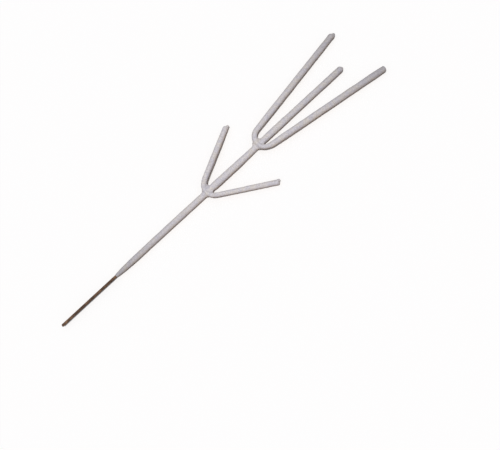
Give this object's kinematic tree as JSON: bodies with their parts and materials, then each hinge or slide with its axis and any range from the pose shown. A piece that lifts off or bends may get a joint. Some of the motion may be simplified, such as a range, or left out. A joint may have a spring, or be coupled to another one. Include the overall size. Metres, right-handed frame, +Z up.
{
  "type": "branched sparkler",
  "caption": "Hand-held sparkler: a straight wire with a bare handle end, a stem coated in dried grey composition, and bent coated side wires welded across it as branching forks.",
  "frame": {"origin": "centre of the cut face at the free end of the bare handle", "axes": "+X along the stem from the handle to the tips, +Y to the left of the stem, +Z up from the surface that the sparkler lies on"},
  "size_m": [0.5001, 0.1099, 0.0103],
  "materials": {
    "wire": "satin",
    "coat": "matte"
  },
  "bodies": {
    "root": {"stem_wire": "wire", "lower_fork_wire": "wire", "upper_fork_wire": "wire", "lower_fork_weld": "wire", "upper_fork_weld": "wire", "lower_stem_coat": "coat", "middle_stem_coat": "coat", "upper_stem_coat": "coat", "lower_fork_coat": "coat", "upper_fork_coat": "coat"}
  },
  "joints": []
}
